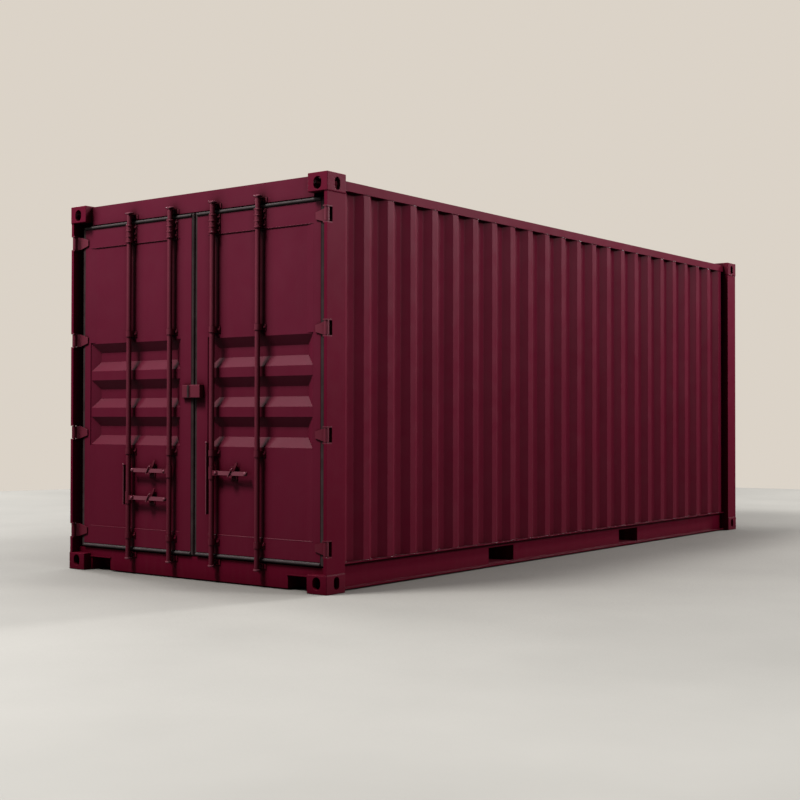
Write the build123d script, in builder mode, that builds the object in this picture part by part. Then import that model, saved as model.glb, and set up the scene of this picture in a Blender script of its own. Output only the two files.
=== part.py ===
"""Twenty-foot dry freight container with two swinging end doors.

Millimetres, +Z up. The origin is on the ground under the middle of the box.
The doors are at the -Y end and +X is on the right of someone facing them.
"""

import math
import os

from build123d import *

os.makedirs("parts", exist_ok=True)

# Overall size over the corner castings
length = 6058.0
width = 2438.0
height = 2591.0

# Corner castings
casting_length = 178.0
casting_width = 162.0
casting_height = 118.0
casting_wall = 26.0
casting_back = 12.0
casting_round = 5.0
end_hole_wide = 64.0
side_hole_wide = 51.0
side_hole_from_end = 95.0
face_hole_high = 80.0
face_hole_middle = 66.0
lift_hole_long = 124.0
lift_hole_wide = 63.5
lift_hole_from_end = 101.5
lift_hole_from_side = 89.0

# Corner posts, folded from plate and set back a little from the castings
post_inset = 4.0
post_wall = 6.0
rear_flange_thick = 24.0
rear_jamb_wide = 91.0
rear_jamb_deep = 69.0
front_side_leg = 85.0
front_end_leg = 85.0

# Door-end header and sill
header_recess = 62.0
header_bottom_drop = 136.0
header_top_drop = 6.0
rear_rail_wall = 5.0
stop_height = 15.0
stop_depth = 64.0
sill_top = 155.0
under_clearance = 10.0
sill_notch_wide = 195.0
sill_notch_high = 83.0
sill_notch_from_casting = 17.0
notch_lip_thick = 7.0
notch_lip_proud = 6.0

# Side rails and end rails
side_inset = 49.0
top_rail_high = 60.0
top_rail_wide = 60.0
top_rail_drop = 28.0
top_rail_wall = 4.0
bottom_rail_top = 176.0
bottom_rail_flange = 8.0
bottom_rail_web = 4.5
bottom_rail_depth = 39.0
end_inset = 30.0
end_rail_deep = 60.0
end_rail_wall = 4.0
end_rail_top_drop = 11.0

# Corrugated walls
sheet = 2.0
side_wave_pitch = 243.0
side_wave_slope = 60.0
side_wave_crest = 61.5
side_wave_depth = 36.0
side_wave_bend = 8.0
side_wave_margin = 52.0
end_wave_pitch = 250.0
end_wave_slope = 30.0
end_wave_crest = 105.0
end_wave_depth = 45.0
end_wave_bend = 8.0
end_wave_margin = 50.0

# Roof
roof_edge = 20.0
roof_rib_pitch = 209.0
roof_rib_wide = 118.0
roof_rib_high = 18.0
roof_rib_slope = 14.0
roof_rib_end_gap = 90.0
roof_end_margin = 330.0
corner_plate_long = 300.0
corner_plate_wide = 420.0
corner_plate_thick = 4.0

# Floor, cross-members and fork pockets
floor_thick = 28.0
floor_top = 170.0
floor_side_gap = 3.0
floor_rows = 5
floor_seam = 2.0
cross_member_pitch = 300.0
cross_member_high = 122.0
cross_member_flange = 45.0
cross_member_wall = 4.5
cross_member_end_gap = 60.0
pocket_spacing = 1960.0
pocket_wide = 330.0
pocket_high = 115.0
pocket_wall = 4.0
pocket_member_gap = 40.0

# Door leaves
door_recess = 54.0
leaf_depth = 48.0
seal_width = 29.0
meeting_seal_width = 23.0
meeting_gap = 10.0
door_end_gap = 6.0
door_side_gap = 41.0
inner_stile = 102.0
outer_stile = 61.0
top_stile = 131.0
bottom_stile = 123.0
leaf_wall = 4.0
panel_recess = 5.0
trough_rows = 3
trough_pitch = 259.0
trough_high = 195.0
trough_slope = 65.0
trough_depth = 34.0
trough_end_gap = 8.0
trough_centre = 1248.5
seal_thick = 28.0
seal_back = 2.0
seal_round = 11.0

# Hinges, four to a door
hinge_inset = 17.0
hinge_end_rise = 278.0
hinge_end_drop = 261.0
hinge_mid_gap = 657.0
hinge_high = 88.0
hinge_tip_high = 42.0
hinge_reach = 115.0
knuckle_radius = 16.0
blade_thick = 8.0
hinge_pin_radius = 8.0
hinge_pin_clearance = 0.3
blade_crank_back = 2.0
lug_thick = 8.0
lug_gap = 2.0
lug_inward = 10.0
lug_notch_deep = 50.0

# Lock rods with their cams, keepers and guides
rod_recess = 22.0
rod_radius = 17.0
rod_inner_x = 203.0
rod_outer_x = 614.0
rod_top_drop = 98.0
rod_bottom_rise = 115.0
rod_end_chamfer = 5.0
cam_from_end = 20.0
cam_thick = 12.0
cam_radius = 28.0
cam_half_angle = 40.0
keeper_gap = 5.0
keeper_plate = 6.0
keeper_ledge = 5.0
keeper_reach = 11.0
keeper_half_wide = 45.0
keeper_cheek_from_rod = 24.0
guide_radius = 21.0
guide_clearance = 0.5
guide_foot_half = 42.0
guide_foot_thick = 6.0
sleeve_high = 127.0
sleeve_gap = 2.0
guide_high = 40.0
upper_guide_z = 1660.0
lower_guide_z = 850.0
bottom_guide_z = 270.0

# Handles, their hubs on the rods and their catches on the doors
upper_handle_z = 720.0
lower_handle_z = 530.0
handle_tip_gap = 15.0
short_handle = 320.0
handle_thick = 12.0
handle_high = 26.0
handle_eye_radius = 16.0
handle_pin_from_rod = 44.0
handle_pin_radius = 7.0
handle_pin_clearance = 0.3
handle_side_clearance = 1.0
handle_tip_chamfer = 4.0
hub_radius = 20.5
hub_high = 84.0
fork_half_high = 16.0
fork_cheek = 5.0
fork_beyond_pin = 14.0
fork_root_gap = 1.5
catch_share = 0.54
catch_wide = 60.0
catch_high = 90.0
catch_plate = 6.0
catch_shelf_wide = 44.0
catch_shelf_thick = 8.0
catch_shelf_reach = 48.0
catch_gap = 5.0
hasp_stand = 7.0
hasp_thick = 8.0
hasp_wide = 16.0
hasp_run = 34.0
hasp_rise = 62.0
hasp_boss_radius = 9.0
hasp_knob_radius = 7.0
strip_thick = 6.0
strip_from_rod = 48.0
strip_reach = 40.0
left_strip_low = 480.0
left_strip_high = 755.0
right_strip_low = 446.0
right_strip_high = 917.0

# Centre catch over the meeting edges
centre_catch_z = 1256.0
centre_catch_high = 86.0
centre_catch_wide = 90.0
centre_plate_thick = 20.0
centre_block_thick = 40.0
centre_round = 4.0

# Planes and edges that the pieces share
half_length = length / 2
half_width = width / 2
inner_y = half_length - casting_length
inner_x = half_width - casting_width
post_x = half_width - post_inset
post_y = half_length - post_inset
flange_x = post_x - rear_flange_thick
side_x = half_width - side_inset
end_y = half_length - end_inset
header_y = -half_length + header_recess
header_bottom = height - header_bottom_drop
door_y = -half_length + door_recess
leaf_back_y = door_y + leaf_depth
panel_y = door_y + panel_recess
seal_side_x = flange_x - door_side_gap
leaf_outer_x = seal_side_x - seal_width
leaf_inner_x = meeting_gap / 2 + meeting_seal_width
leaf_bottom = sill_top + door_end_gap + seal_width
leaf_top = header_bottom - door_end_gap - seal_width
panel_low_x = leaf_inner_x + inner_stile
panel_high_x = leaf_outer_x - outer_stile
panel_bottom = leaf_bottom + bottom_stile
panel_top = leaf_top - top_stile
top_rail_top = height - top_rail_drop
top_rail_bottom = top_rail_top - top_rail_high
web_x = side_x - bottom_rail_depth
hinge_x = post_x - hinge_inset
hinge_y = -post_y + hinge_inset
rod_y = -half_length + rod_recess
rod_top = height - rod_top_drop
top_cam_z = rod_top - cam_from_end
bottom_cam_z = rod_bottom_rise + cam_from_end
floor_bottom = floor_top - floor_thick
pocket_top = floor_bottom - pocket_wall
pocket_bottom = pocket_top - pocket_high

# The long handles reach to the next rod of their door
long_handle = rod_outer_x - rod_inner_x - rod_radius - handle_tip_gap

hinge_middle = (hinge_end_rise + height - hinge_end_drop) / 2
hinge_heights = (
    hinge_end_rise,
    hinge_middle - hinge_mid_gap / 2,
    hinge_middle + hinge_mid_gap / 2,
    height - hinge_end_drop,
)


def block(x_pair, y_pair, z_pair, mode=Mode.ADD):
    """Adds or cuts a straight block, given by its limits along each axis."""
    centre = [(low + high) / 2 for low, high in (x_pair, y_pair, z_pair)]
    with Locations(tuple(centre)):
        Box(
            abs(x_pair[1] - x_pair[0]),
            abs(y_pair[1] - y_pair[0]),
            abs(z_pair[1] - z_pair[0]),
            mode=mode,
        )


def mirrored(piece):
    """The same piece on the other side of the middle plane."""
    with BuildPart() as twin:
        mirror(piece.part, about=Plane.YZ)
    return twin


def write(piece, name):
    """Labels a finished piece and writes it."""
    piece.part.label = name
    export_step(piece.part, f"parts/{name}.step")


# Corner castings: a hollow block with a hole in its end, side and lifting face
def corner_casting(x_side, y_side, is_top):
    z_side = 1 if is_top else -1
    x_mid = x_side * (half_width - casting_width / 2)
    y_mid = y_side * (half_length - casting_length / 2)
    z_face = height if is_top else 0.0
    z_mid = z_face - z_side * casting_height / 2
    hole_z = z_face - z_side * face_hole_middle
    hole_y = y_side * (half_length - side_hole_from_end)
    lift_x = x_side * (half_width - lift_hole_from_side)
    lift_y = y_side * (half_length - lift_hole_from_end)
    with BuildPart() as casting:
        with Locations((x_mid, y_mid, z_mid)):
            Box(casting_width, casting_length, casting_height)
        fillet(casting.edges(), casting_round)
        block(
            (x_side * (half_width - casting_wall), x_side * (inner_x + casting_back)),
            (y_side * (half_length - casting_wall), y_side * (inner_y + casting_back)),
            (
                z_face - z_side * casting_wall,
                z_face - z_side * (casting_height - casting_back),
            ),
            mode=Mode.SUBTRACT,
        )
        end_face = Plane((x_mid, y_side * half_length, hole_z), x_dir=(1, 0, 0), z_dir=(0, y_side, 0))
        with BuildSketch(end_face):
            SlotOverall(face_hole_high, end_hole_wide, rotation=90)
        extrude(amount=-casting_wall, mode=Mode.SUBTRACT)
        side_face = Plane((x_side * half_width, hole_y, hole_z), x_dir=(0, 1, 0), z_dir=(x_side, 0, 0))
        with BuildSketch(side_face):
            SlotOverall(face_hole_high, side_hole_wide, rotation=90)
        extrude(amount=-casting_wall, mode=Mode.SUBTRACT)
        lift_face = Plane((lift_x, lift_y, z_face), x_dir=(0, 1, 0), z_dir=(0, 0, z_side))
        with BuildSketch(lift_face):
            SlotOverall(lift_hole_long, lift_hole_wide)
        extrude(amount=-casting_wall, mode=Mode.SUBTRACT)
    return casting.part


corners = [(x_side, y_side) for x_side in (-1, 1) for y_side in (-1, 1)]
top_four = [corner_casting(x_side, y_side, True) for x_side, y_side in corners]
bottom_four = [corner_casting(x_side, y_side, False) for x_side, y_side in corners]

with BuildPart() as top_castings:
    add(top_four)

with BuildPart() as bottom_castings:
    add(bottom_four)

write(top_castings, "top_castings")
write(bottom_castings, "bottom_castings")


# Rear posts: a folded section with a side flange and a jamb behind the door
with BuildPart() as rear_posts:
    with BuildSketch(Plane.XY.offset(casting_height)):
        with BuildLine():
            Polyline(
                (flange_x, -post_y),
                (post_x, -post_y),
                (post_x, -inner_y),
                (flange_x - rear_jamb_wide, -inner_y),
                (flange_x - rear_jamb_wide, -inner_y - rear_jamb_deep),
                (flange_x, -inner_y - rear_jamb_deep),
                close=True,
            )
        make_face()
        offset(amount=-post_wall, kind=Kind.INTERSECTION, mode=Mode.SUBTRACT)
    extrude(amount=height - 2 * casting_height)
    notch_half = hinge_high / 2 + lug_gap + lug_thick
    for hinge_z in hinge_heights:
        block(
            (flange_x - lug_inward, post_x),
            (-post_y, -post_y + lug_notch_deep),
            (hinge_z - notch_half, hinge_z + notch_half),
            mode=Mode.SUBTRACT,
        )
    mirror(about=Plane.YZ)

write(rear_posts, "rear_posts")


# Front posts: a folded angle with one leg along the side and one along the end
with BuildPart() as front_posts:
    with BuildSketch(Plane.XY.offset(casting_height)):
        with BuildLine():
            Polyline(
                (post_x, post_y),
                (inner_x, post_y),
                (inner_x, post_y - front_end_leg),
                (post_x - front_side_leg, post_y - front_end_leg),
                (post_x - front_side_leg, inner_y),
                (post_x, inner_y),
                close=True,
            )
        make_face()
        offset(amount=-post_wall, kind=Kind.INTERSECTION, mode=Mode.SUBTRACT)
    extrude(amount=height - 2 * casting_height)
    mirror(about=Plane.YZ)

write(front_posts, "front_posts")


# Door header: a box beam between the top castings, with a stop behind the doors
with BuildPart() as door_header:
    with BuildSketch(Plane.YZ):
        with BuildLine():
            Polyline(
                (header_y, height - header_top_drop),
                (header_y, header_bottom),
                (-inner_y - stop_depth, header_bottom),
                (-inner_y - stop_depth, header_bottom - stop_height),
                (-inner_y, header_bottom - stop_height),
                (-inner_y, height - header_top_drop),
                close=True,
            )
        make_face()
        offset(amount=-rear_rail_wall, kind=Kind.INTERSECTION, mode=Mode.SUBTRACT)
    extrude(amount=inner_x, both=True)

write(door_header, "door_header")


# Door sill: a box beam between the bottom castings with a notch at each end
with BuildPart() as door_sill:
    with BuildSketch(Plane.YZ):
        with BuildLine():
            Polyline(
                (header_y, under_clearance),
                (header_y, sill_top),
                (-inner_y - stop_depth, sill_top),
                (-inner_y - stop_depth, sill_top + stop_height),
                (-inner_y, sill_top + stop_height),
                (-inner_y, under_clearance),
                close=True,
            )
        make_face()
        offset(amount=-rear_rail_wall, kind=Kind.INTERSECTION, mode=Mode.SUBTRACT)
    extrude(amount=inner_x, both=True)
    notch_out = inner_x - sill_notch_from_casting
    notch_in = notch_out - sill_notch_wide
    notch_top = under_clearance + sill_notch_high
    for x_side in (-1, 1):
        block(
            (x_side * (notch_in - rear_rail_wall), x_side * inner_x),
            (header_y, -inner_y),
            (under_clearance, notch_top + rear_rail_wall),
        )
        block(
            (x_side * notch_in, x_side * notch_out),
            (header_y, -inner_y - rear_rail_wall),
            (under_clearance, notch_top),
            mode=Mode.SUBTRACT,
        )
        block(
            (x_side * (notch_in - notch_lip_thick), x_side * inner_x),
            (header_y - notch_lip_proud, header_y),
            (notch_top, notch_top + notch_lip_thick),
        )
        block(
            (x_side * inner_x, x_side * flange_x),
            (header_y, -inner_y - rear_jamb_deep),
            (casting_height, sill_top),
        )

write(door_sill, "door_sill")


# End rails at the closed end: two tubes, the upper one with a lip under the roof sheet
front_rail_y = (end_y - end_rail_deep, end_y)
front_rail_inside_y = (front_rail_y[0] + end_rail_wall, front_rail_y[1] - end_rail_wall)
with BuildPart() as front_rails:
    for low_z, high_z in (
        (top_rail_bottom, height - end_rail_top_drop),
        (under_clearance, bottom_rail_top),
    ):
        block((-inner_x, inner_x), front_rail_y, (low_z, high_z))
        block(
            (-inner_x, inner_x),
            front_rail_inside_y,
            (low_z + end_rail_wall, high_z - end_rail_wall),
            mode=Mode.SUBTRACT,
        )
    block(
        (-inner_x, inner_x),
        (inner_y, front_rail_y[0]),
        (top_rail_top, top_rail_top + sheet),
    )

write(front_rails, "front_rails")


# Top side rails: square tubes between the castings
with BuildPart() as top_side_rails:
    block((side_x - top_rail_wide, side_x), (-inner_y, inner_y), (top_rail_bottom, top_rail_top))
    block(
        (side_x - top_rail_wide + top_rail_wall, side_x - top_rail_wall),
        (-inner_y, inner_y),
        (top_rail_bottom + top_rail_wall, top_rail_top - top_rail_wall),
        mode=Mode.SUBTRACT,
    )
    mirror(about=Plane.YZ)

write(top_side_rails, "top_side_rails")


# Bottom side rails: an angle above and one below the pockets, with web plates between
web_in_x = web_x - bottom_rail_web
with BuildPart() as bottom_side_rails:
    for flange_z, web_z in (
        ((bottom_rail_top - bottom_rail_flange, bottom_rail_top), (pocket_top, bottom_rail_top)),
        ((under_clearance, under_clearance + bottom_rail_flange), (under_clearance, pocket_bottom)),
    ):
        block((web_in_x, side_x), (-inner_y, inner_y), flange_z)
        block((web_in_x, web_x), (-inner_y, inner_y), web_z)
    mirror(about=Plane.YZ)

pocket_low_y = pocket_spacing / 2 - pocket_wide / 2
pocket_high_y = pocket_spacing / 2 + pocket_wide / 2
with BuildPart() as bottom_rail_webs:
    for low_y, high_y in (
        (-inner_y, -pocket_high_y),
        (-pocket_low_y, pocket_low_y),
        (pocket_high_y, inner_y),
    ):
        block((web_in_x, web_x), (low_y, high_y), (pocket_bottom, pocket_top))
    mirror(about=Plane.YZ)

write(bottom_side_rails, "bottom_side_rails")
write(bottom_rail_webs, "bottom_rail_webs")


def wave_line(half_span, first, count, pitch, slope, crest, depth):
    """The outer line of a corrugated wall: (along, inward) points with count troughs from first."""
    trough = pitch - 2 * slope - crest
    points = [(-half_span, 0.0)]
    for index in range(count):
        start = first + index * pitch
        points.append((start, 0.0))
        points.append((start + slope, depth))
        points.append((start + slope + trough, depth))
        points.append((start + 2 * slope + trough, 0.0))
    points.append((max(half_span, first + count * pitch), 0.0))
    return points


def bends_of(section, axis):
    """The corners of a wall's section, apart from those at its two ends."""
    return [corner for group in section.vertices().group_by(axis)[1:-1] for corner in group]


# Side walls: pressed sheet with upright waves, cut to length between the posts
side_wave_first = -inner_y + side_wave_margin
side_wave_count = math.ceil((inner_y - side_wave_first) / side_wave_pitch)
with BuildPart() as right_wall:
    with BuildSketch(Plane.XY.offset(bottom_rail_top)) as side_section:
        with BuildLine():
            outside = [
                (side_x - inward, along)
                for along, inward in wave_line(
                    inner_y,
                    side_wave_first,
                    side_wave_count,
                    side_wave_pitch,
                    side_wave_slope,
                    side_wave_crest,
                    side_wave_depth,
                )
            ]
            inside = [(x - sheet, y) for x, y in reversed(outside)]
            Polyline(*outside, *inside, close=True)
        make_face()
        fillet(bends_of(side_section, Axis.Y), side_wave_bend)
        with Locations((side_x, 0)):
            Rectangle(2 * casting_width, 2 * inner_y, mode=Mode.INTERSECT)
    extrude(amount=top_rail_bottom - bottom_rail_top)

write(right_wall, "right_wall")
write(mirrored(right_wall), "left_wall")


# Front wall: the closed end, pressed the same way and even about its middle
end_wave_count = int((2 * (inner_x - end_wave_margin) + end_wave_crest) // end_wave_pitch)
end_wave_first = -(end_wave_count * end_wave_pitch - end_wave_crest) / 2
with BuildPart() as front_wall:
    with BuildSketch(Plane.XY.offset(bottom_rail_top)) as end_section:
        with BuildLine():
            outside = [
                (along, end_y - inward)
                for along, inward in wave_line(
                    inner_x,
                    end_wave_first,
                    end_wave_count,
                    end_wave_pitch,
                    end_wave_slope,
                    end_wave_crest,
                    end_wave_depth,
                )
            ]
            inside = [(x, y - sheet) for x, y in reversed(outside)]
            Polyline(*outside, *inside, close=True)
        make_face()
        fillet(bends_of(end_section, Axis.X), end_wave_bend)
    extrude(amount=top_rail_bottom - bottom_rail_top)

write(front_wall, "front_wall")


# Roof: a sheet on the top rails with hollow pressed ribs across it
rib_long = 2 * (side_x - top_rail_wide - roof_rib_end_gap)
rib_run = 2 * inner_y - 2 * roof_end_margin
rib_count = int((rib_run - roof_rib_wide) // roof_rib_pitch) + 1
rib_taper = math.degrees(math.atan(roof_rib_slope / roof_rib_high))
with BuildPart() as roof:
    block(
        (-side_x + roof_edge, side_x - roof_edge),
        (-inner_y, inner_y),
        (top_rail_top, top_rail_top + sheet),
    )
    for rise, rib_mode in ((sheet, Mode.ADD), (0.0, Mode.SUBTRACT)):
        with BuildSketch(Plane.XY.offset(top_rail_top + rise)):
            with GridLocations(0, roof_rib_pitch, 1, rib_count):
                Rectangle(rib_long, roof_rib_wide)
        extrude(amount=roof_rib_high, taper=rib_taper, mode=rib_mode)

write(roof, "roof")


# Corner plates on the roof beside the castings
with BuildPart() as roof_corner_plates:
    plate_x = side_x - roof_edge - corner_plate_wide / 2
    plate_y = inner_y - corner_plate_long / 2
    with GridLocations(2 * plate_x, 2 * plate_y, 2, 2):
        with Locations((0, 0, top_rail_top + sheet + corner_plate_thick / 2)):
            Box(corner_plate_wide, corner_plate_long, corner_plate_thick)

write(roof_corner_plates, "roof_corner_plates")


# Floor: boards in two columns on the cross-members
floor_half = web_in_x - floor_side_gap
floor_low_y = -inner_y
floor_high_y = front_rail_y[0]
board_step = (floor_high_y - floor_low_y) / floor_rows
with BuildPart() as floor:
    for row in range(floor_rows):
        row_start = floor_low_y + row * board_step
        for x_side in (-1, 1):
            block(
                (x_side * floor_seam / 2, x_side * floor_half),
                (row_start + floor_seam / 2, row_start + board_step - floor_seam / 2),
                (floor_bottom, floor_top),
            )

write(floor, "floor")


# Cross-members: channels between the bottom rails, left out where a pocket runs
member_run = 2 * (inner_y - cross_member_end_gap) - cross_member_flange
member_count = round(member_run / cross_member_pitch) + 1
member_step = member_run / (member_count - 1)
member_clear = pocket_wide / 2 + pocket_member_gap + cross_member_flange / 2
member_low = floor_bottom - cross_member_high
with BuildPart() as cross_members:
    for index in range(member_count):
        member_middle = -member_run / 2 + index * member_step
        member_y = member_middle - cross_member_flange / 2
        if abs(abs(member_middle) - pocket_spacing / 2) > member_clear:
            block(
                (-web_in_x, web_in_x),
                (member_y, member_y + cross_member_flange),
                (member_low, floor_bottom),
            )
            block(
                (-web_in_x, web_in_x),
                (member_y + cross_member_wall, member_y + cross_member_flange),
                (member_low + cross_member_wall, floor_bottom - cross_member_wall),
                mode=Mode.SUBTRACT,
            )

write(cross_members, "cross_members")


# Fork pockets: open tunnels from side to side, of two cheeks between two plates
with BuildPart() as fork_pocket_cheeks:
    for edge_y, outer_y in (
        (pocket_low_y, pocket_low_y - pocket_wall),
        (pocket_high_y, pocket_high_y + pocket_wall),
    ):
        block((-web_in_x, web_in_x), (edge_y, outer_y), (pocket_bottom, pocket_top))
    mirror(about=Plane.XZ)

with BuildPart() as fork_pocket_plates:
    for low_z, high_z in ((pocket_bottom - pocket_wall, pocket_bottom), (pocket_top, floor_bottom)):
        block(
            (-web_in_x, web_in_x),
            (pocket_low_y - pocket_wall, pocket_high_y + pocket_wall),
            (low_z, high_z),
        )
    mirror(about=Plane.XZ)

write(fork_pocket_cheeks, "fork_pocket_cheeks")
write(fork_pocket_plates, "fork_pocket_plates")


# Hinge lugs: two ears and a back plate in each notch of the rear posts
lug_low_x = flange_x - lug_inward
with BuildPart() as hinge_lugs:
    for hinge_z in hinge_heights:
        for z_side in (-1, 1):
            inner_z = hinge_z + z_side * (hinge_high / 2 + lug_gap)
            block(
                (lug_low_x, post_x),
                (-post_y, -post_y + lug_notch_deep),
                (inner_z, inner_z + z_side * lug_thick),
            )
        block(
            (flange_x + post_wall, post_x - post_wall),
            (-post_y + lug_notch_deep, -post_y + lug_notch_deep + lug_thick),
            (hinge_z - notch_half, hinge_z + notch_half),
        )
        with Locations((hinge_x, hinge_y, hinge_z)):
            Cylinder(hinge_pin_radius, 2 * notch_half, mode=Mode.SUBTRACT)
    mirror(about=Plane.YZ)

with BuildPart() as hinge_pins:
    for hinge_z in hinge_heights:
        with Locations((-hinge_x, hinge_y, hinge_z), (hinge_x, hinge_y, hinge_z)):
            Cylinder(hinge_pin_radius, 2 * notch_half)

write(hinge_lugs, "hinge_lugs")
write(hinge_pins, "hinge_pins")


# Door leaf frame: tube stiles with channel rails that open inwards
with BuildPart() as right_door_frame:
    block((leaf_inner_x, leaf_outer_x), (door_y, leaf_back_y), (leaf_bottom, leaf_top))
    block(
        (panel_low_x, panel_high_x),
        (door_y, leaf_back_y),
        (panel_bottom, panel_top),
        mode=Mode.SUBTRACT,
    )
    for low_x, high_x in ((leaf_inner_x, panel_low_x), (panel_high_x, leaf_outer_x)):
        block(
            (low_x + leaf_wall, high_x - leaf_wall),
            (door_y + leaf_wall, leaf_back_y - leaf_wall),
            (leaf_bottom, leaf_top),
            mode=Mode.SUBTRACT,
        )
    for low_z, high_z in ((leaf_bottom, panel_bottom), (panel_top, leaf_top)):
        block(
            (panel_low_x, panel_high_x),
            (door_y + leaf_wall, leaf_back_y),
            (low_z + leaf_wall, high_z - leaf_wall),
            mode=Mode.SUBTRACT,
        )

write(right_door_frame, "right_door_frame")
write(mirrored(right_door_frame), "left_door_frame")


# Door panel: a sheet with three pressed troughs across its middle
trough_long = panel_high_x - panel_low_x - 2 * trough_end_gap
trough_x = (panel_low_x + panel_high_x) / 2
with BuildPart() as right_door_panel:
    block((panel_low_x, panel_high_x), (panel_y, panel_y + sheet), (panel_bottom, panel_top))
    for row in range(trough_rows):
        row_z = trough_centre + (row - (trough_rows - 1) / 2) * trough_pitch
        for face_y, trough_mode in ((panel_y + sheet, Mode.ADD), (panel_y, Mode.SUBTRACT)):
            trough_face = Plane((trough_x, face_y, row_z), x_dir=(1, 0, 0), z_dir=(0, 1, 0))
            with BuildSketch(trough_face):
                Rectangle(trough_long, trough_high)
            with BuildSketch(trough_face.offset(trough_depth)):
                Rectangle(trough_long - 2 * trough_slope, trough_high - 2 * trough_slope)
            loft(mode=trough_mode)

write(right_door_panel, "right_door_panel")
write(mirrored(right_door_panel), "left_door_panel")


# Door seal: a rubber ring round the leaf
with BuildPart() as right_door_seal:
    block(
        (leaf_inner_x - meeting_seal_width, seal_side_x),
        (door_y + seal_back, door_y + seal_back + seal_thick),
        (leaf_bottom - seal_width, leaf_top + seal_width),
    )
    front_edges = right_door_seal.faces().sort_by(Axis.Y)[0].edges()
    fillet(front_edges, seal_round)
    block(
        (leaf_inner_x, leaf_outer_x),
        (door_y, door_y + seal_back + seal_thick),
        (leaf_bottom, leaf_top),
        mode=Mode.SUBTRACT,
    )

write(right_door_seal, "right_door_seal")
write(mirrored(right_door_seal), "left_door_seal")


# Hinge blades: a tapered strap that cranks out to a bored knuckle
blade_out_y = door_y - blade_thick
crank_x = hinge_x - 2 * knuckle_radius
neck_front = (hinge_x - 0.9 * knuckle_radius, hinge_y + 0.4 * knuckle_radius)
neck_back = (hinge_x + 0.2 * knuckle_radius, hinge_y + 0.9 * knuckle_radius)


def hinge_blade(centre_z):
    """One blade of the right door, centred at a height."""
    with BuildPart() as blade:
        with BuildSketch(Plane.XY.offset(centre_z)):
            with BuildLine():
                Polyline(
                    (hinge_x - hinge_reach, blade_out_y),
                    (crank_x, blade_out_y),
                    neck_front,
                    (hinge_x, hinge_y),
                    neck_back,
                    (crank_x + blade_crank_back, door_y),
                    (hinge_x - hinge_reach, door_y),
                    close=True,
                )
            make_face()
            with Locations((hinge_x, hinge_y)):
                Circle(knuckle_radius)
                Circle(hinge_pin_radius + hinge_pin_clearance, mode=Mode.SUBTRACT)
        extrude(amount=hinge_high / 2, both=True)
        with BuildSketch(Plane.XZ.offset(-hinge_y)):
            with BuildLine():
                Polyline(
                    (hinge_x - hinge_reach, centre_z - hinge_tip_high / 2),
                    (crank_x, centre_z - hinge_high / 2),
                    (post_x, centre_z - hinge_high / 2),
                    (post_x, centre_z + hinge_high / 2),
                    (crank_x, centre_z + hinge_high / 2),
                    (hinge_x - hinge_reach, centre_z + hinge_tip_high / 2),
                    close=True,
                )
            make_face()
        extrude(amount=leaf_depth, both=True, mode=Mode.INTERSECT)
    return blade.part


blades = [hinge_blade(hinge_z) for hinge_z in hinge_heights]

with BuildPart() as right_hinge_blades:
    add(blades)

write(right_hinge_blades, "right_hinge_blades")
write(mirrored(right_hinge_blades), "left_hinge_blades")


# Rod guides: bored blocks on the leaf that the lock rods turn in
def rod_guide(rod_x, low_z, high_z, seat_y):
    """Adds one guide with its foot plate on the leaf face at seat_y."""
    middle_z = (low_z + high_z) / 2
    block(
        (rod_x - guide_foot_half, rod_x + guide_foot_half),
        (seat_y - guide_foot_thick, seat_y),
        (low_z, high_z),
    )
    block((rod_x - guide_radius, rod_x + guide_radius), (rod_y, seat_y), (low_z, high_z))
    with Locations((rod_x, rod_y, middle_z)):
        Cylinder(guide_radius, high_z - low_z)
        Cylinder(rod_radius + guide_clearance, high_z - low_z, mode=Mode.SUBTRACT)


sleeve_low = panel_top + sleeve_gap
with BuildPart() as right_rod_guides:
    for rod_x in (rod_inner_x, rod_outer_x):
        rod_guide(rod_x, sleeve_low, sleeve_low + sleeve_high, door_y)
        for guide_z in (lower_guide_z, upper_guide_z):
            rod_guide(rod_x, guide_z - guide_high / 2, guide_z + guide_high / 2, panel_y)
        rod_guide(rod_x, bottom_guide_z - guide_high / 2, bottom_guide_z + guide_high / 2, door_y)

write(right_rod_guides, "right_rod_guides")
write(mirrored(right_rod_guides), "left_rod_guides")


# Lock rods: a round bar and, where a handle sits, a forked hub
def rod_bar(rod_x):
    """The round bar of one rod."""
    with BuildPart() as bar:
        with Locations((rod_x, rod_y, (rod_top + rod_bottom_rise) / 2)):
            Cylinder(rod_radius, rod_top - rod_bottom_rise)
        chamfer(bar.edges().filter_by(GeomType.CIRCLE), rod_end_chamfer)
    return bar.part


def rod_hub(rod_x, arm_side, handle_z):
    """Adds the collar, the fork and the handle's pin to a rod."""
    pin_x = rod_x + arm_side * handle_pin_from_rod
    fork_x = pin_x + arm_side * fork_beyond_pin
    slot_half = handle_thick / 2 + handle_side_clearance
    cheek_half = slot_half + fork_cheek
    with Locations((rod_x, rod_y, handle_z)):
        Cylinder(hub_radius, hub_high)
    block(
        (rod_x, fork_x),
        (rod_y - cheek_half, rod_y + cheek_half),
        (handle_z - fork_half_high, handle_z + fork_half_high),
    )
    block(
        (rod_x + arm_side * (hub_radius + fork_root_gap), fork_x),
        (rod_y - slot_half, rod_y + slot_half),
        (handle_z - fork_half_high, handle_z + fork_half_high),
        mode=Mode.SUBTRACT,
    )
    with Locations((pin_x, rod_y, handle_z)):
        Cylinder(handle_pin_radius, 2 * cheek_half, rotation=(90, 0, 0))


left_outer_bar = rod_bar(-rod_outer_x)
left_inner_bar = rod_bar(-rod_inner_x)
right_inner_bar = rod_bar(rod_inner_x)
right_outer_bar = rod_bar(rod_outer_x)

with BuildPart() as left_outer_rod:
    add(left_outer_bar)
    rod_hub(-rod_outer_x, 1, lower_handle_z)

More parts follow.
